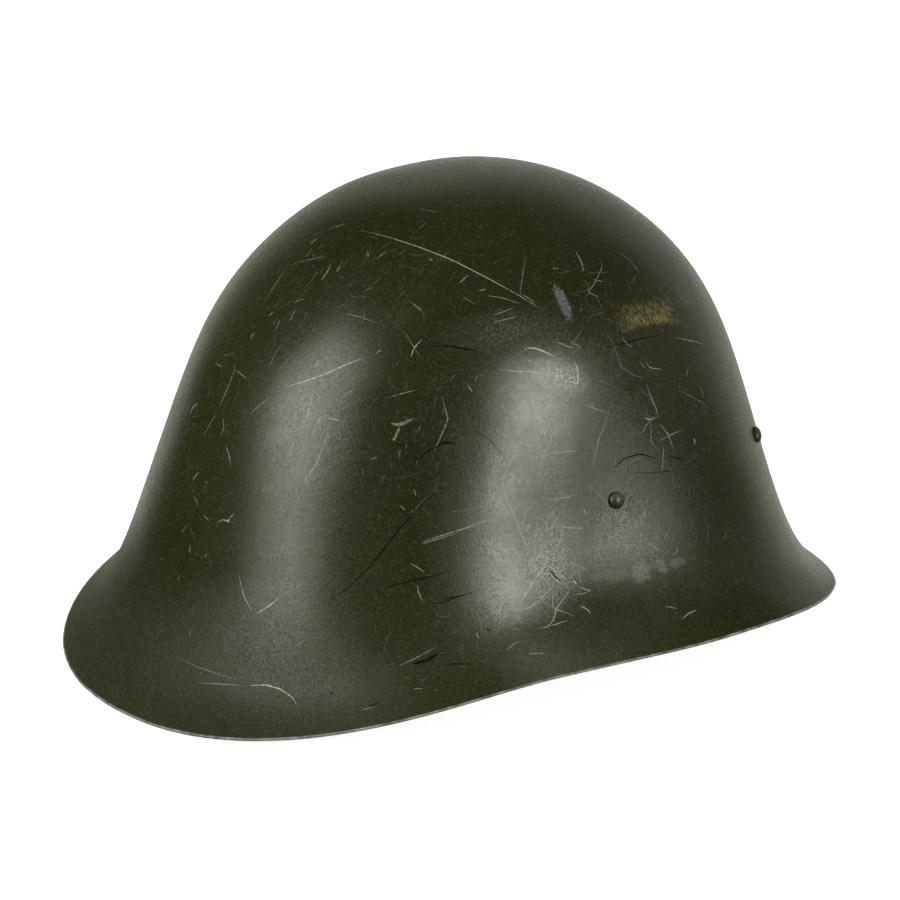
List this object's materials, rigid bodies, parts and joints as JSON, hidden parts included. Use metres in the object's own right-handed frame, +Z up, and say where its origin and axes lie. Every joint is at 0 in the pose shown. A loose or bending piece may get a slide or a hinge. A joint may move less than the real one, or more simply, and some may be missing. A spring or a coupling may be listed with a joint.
{
  "type": "steel helmet",
  "caption": "Bell-shaped steel combat helmet with a flared, gently arched rim, riveted leather liner on a steel hoop, and a two-part buckled chinstrap.",
  "frame": {"origin": "middle of the helmet's outline, on the table that the rim rests on", "axes": "+Z up, -Y towards the front of the helmet, +X towards the wearer's left"},
  "size_m": [0.237, 0.31, 0.1775],
  "materials": {
    "olive_paint": "satin olive drab paint over pressed steel, scratched and scuffed",
    "steel": "dull grey steel",
    "liner_leather": "tan leather, smooth side in",
    "strap_leather": "brown waxed leather",
    "felt": "grey felt",
    "lace": "off-white cotton cord"
  },
  "bodies": {
    "helmet": {"shell": "olive_paint", "shell_rivets": "olive_paint", "rivet_washers": "steel", "bracket_side_left": "steel", "bracket_side_right": "steel", "bracket_rear_left": "steel", "bracket_rear_right": "steel", "liner_hoop": "steel", "hoop_rivets": "steel", "headband": "liner_leather", "tongue_1": "liner_leather", "tongue_2": "liner_leather", "tongue_3": "liner_leather", "tongue_4": "liner_leather", "tongue_5": "liner_leather", "tongue_6": "liner_leather", "tongue_7": "liner_leather", "tongue_8": "liner_leather", "crown_lace": "lace", "pad_front": "felt", "pad_temple_left": "felt", "pad_temple_right": "felt", "pad_rear": "felt"},
    "left_ring": {"ring_left": "steel"},
    "right_ring": {"ring_right": "steel"},
    "left_strap": {"strap_left": "strap_leather", "strap_rivets_left": "steel"},
    "right_strap": {"strap_right": "strap_leather", "strap_rivet_right": "steel"},
    "buckle": {"buckle_frame": "steel"},
    "roller": {"buckle_roller": "steel"},
    "prong": {"buckle_prong": "steel"},
    "keeper": {"strap_keeper": "strap_leather"}
  },
  "joints": [
    {"name": "ring_left_swing", "type": "hinge", "parent": "helmet", "child": "left_ring", "pos_m": [0.08715, 0.01295, 0.042], "axis": [0, 1, 0], "range_deg": [-10, 35]},
    {"name": "ring_right_swing", "type": "hinge", "parent": "helmet", "child": "right_ring", "pos_m": [-0.08715, 0.01295, 0.042], "axis": [0, -1, 0], "range_deg": [-10, 35]},
    {"name": "strap_left_swing", "type": "hinge", "parent": "left_ring", "child": "left_strap", "pos_m": [0.08715, 0.01295, 0.031], "axis": [0, 1, 0], "range_deg": [-10, 55]},
    {"name": "strap_right_swing", "type": "hinge", "parent": "right_ring", "child": "right_strap", "pos_m": [-0.08715, 0.01295, 0.031], "axis": [0, -1, 0], "range_deg": [-10, 55]},
    {"name": "buckle_swing", "type": "hinge", "parent": "left_strap", "child": "buckle", "pos_m": [0.03615, 0.01295, 0.004], "axis": [0, 1, 0], "range_deg": [-15, 40]},
    {"name": "roller_spin", "type": "hinge", "parent": "buckle", "child": "roller", "pos_m": [0.01915, 0.01295, 0.004], "axis": [0, 1, 0], "continuous": true},
    {"name": "prong_swing", "type": "hinge", "parent": "buckle", "child": "prong", "pos_m": [0.03615, 0.01295, 0.004], "axis": [0, 1, 0], "range_deg": [0, 75]},
    {"name": "keeper_slide", "type": "slide", "parent": "left_strap", "child": "keeper", "axis": [1, 0, 0], "range_m": [-0.005, 0.005]}
  ]
}
